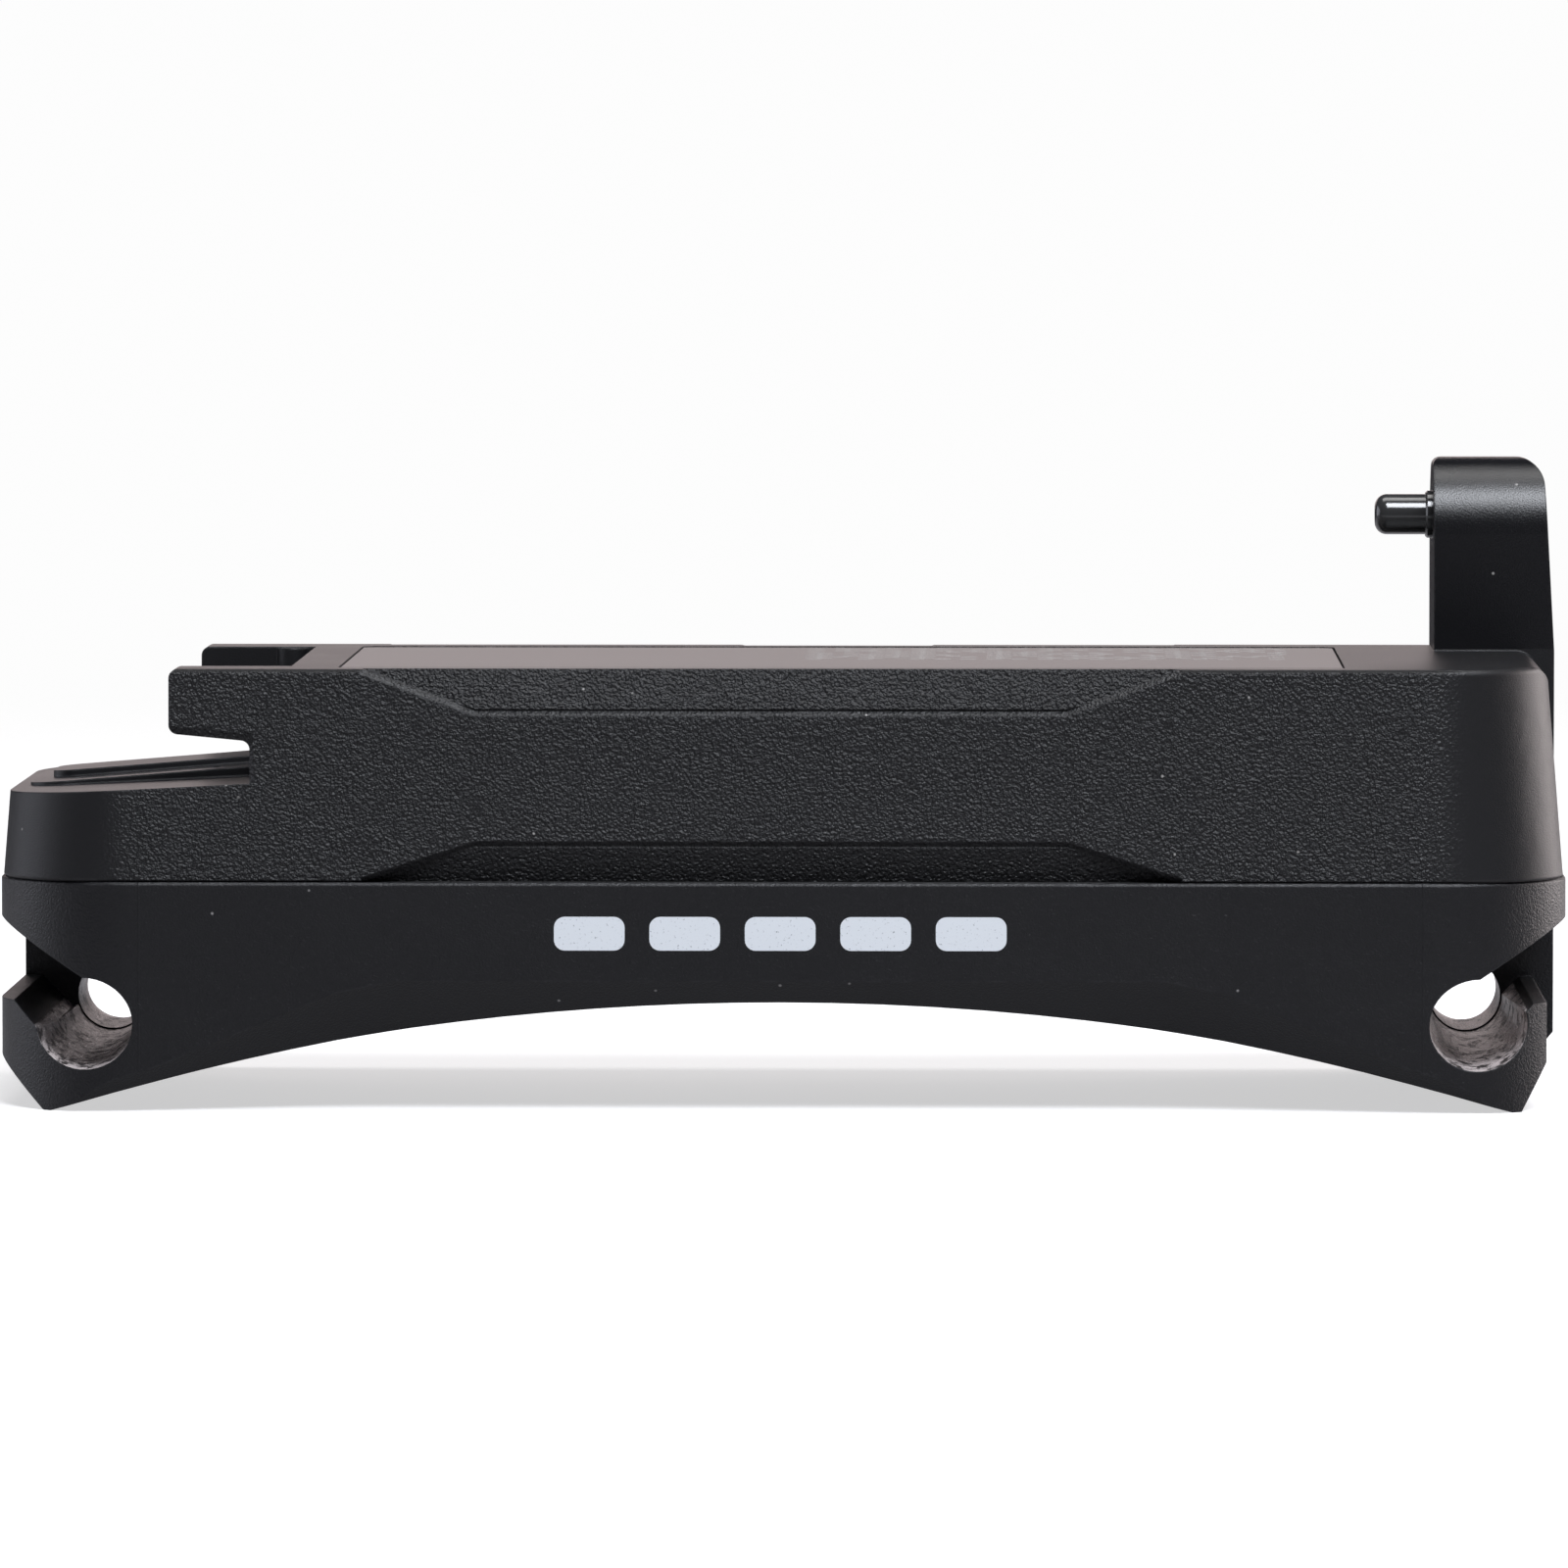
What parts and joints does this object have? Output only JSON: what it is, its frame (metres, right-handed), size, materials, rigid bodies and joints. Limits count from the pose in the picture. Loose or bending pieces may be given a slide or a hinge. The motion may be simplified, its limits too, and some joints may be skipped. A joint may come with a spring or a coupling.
{
  "type": "headlamp battery pack",
  "caption": "Curved battery pack for the back of a headlamp strap: hooked feet for strap rods, docking fork, and a latch post with a sprung plunger.",
  "frame": {"origin": "under the middle of the case, on the plane of the two feet", "axes": "+X from the docking fork to the latch post, +Y to the long side with the post, +Z from the feet to the flat top"},
  "size_m": [0.1026, 0.038, 0.0417],
  "materials": {
    "smooth": "satin black, fine spark finish",
    "grained": "satin black, coarse moulded grain",
    "label": "satin dark grey film",
    "seal": "matt",
    "cell_sleeve": "gloss blue shrink sleeve",
    "holder": "matt",
    "nickel": "bright",
    "foam": "open foam",
    "board": "green solder mask",
    "component": "matt",
    "socket_metal": "satin",
    "clear": "milky clear",
    "cover": "matt soft plastic",
    "button": "matt",
    "gold": "gold flash",
    "dark_steel": "gloss black",
    "steel": "satin",
    "lead_red": "satin",
    "lead_black": "satin"
  },
  "bodies": {
    "case": {"lower_shell": "smooth", "upper_shell": "grained", "shell_gasket": "seal", "label_plate": "label", "cell_near": "cell_sleeve", "cell_far": "cell_sleeve", "cell_holder_left": "holder", "cell_holder_right": "holder", "series_link": "nickel", "tab_near": "nickel", "tab_far": "nickel", "foam_pads": "foam", "circuit_board": "board", "board_components": "component", "charge_socket": "socket_metal", "socket_tongue": "component", "gauge_switch": "component", "light_pipe": "clear", "port_cover_pin": "steel", "contact_block": "holder", "output_contacts": "gold", "plunger_bushing": "dark_steel", "plunger_spring": "steel", "plunger_plug": "smooth", "case_screws": "steel", "board_screws": "steel", "lead_near": "lead_black", "lead_far": "lead_red"},
    "plunger": {"plunger": "dark_steel"},
    "port_cover": {"port_cover": "cover"},
    "gauge_button": {"gauge_button": "button"}
  },
  "joints": [
    {"name": "plunger_slide", "type": "slide", "parent": "case", "child": "plunger", "axis": [1, 0, 0], "range_m": [0, 0.0026], "stiffness_N_per_m": 800, "springref_m": -0.0015, "deforming": ["plunger_spring"]},
    {"name": "port_cover_hinge", "type": "hinge", "parent": "case", "child": "port_cover", "pos_m": [0.04935, 0, 0.0173], "axis": [0, 1, 0], "range_deg": [0, 90]},
    {"name": "gauge_button_press", "type": "slide", "parent": "case", "child": "gauge_button", "axis": [-1, 0, 0], "range_m": [0, 0.0005], "stiffness_N_per_m": 2000, "springref_m": -0.0001}
  ]
}
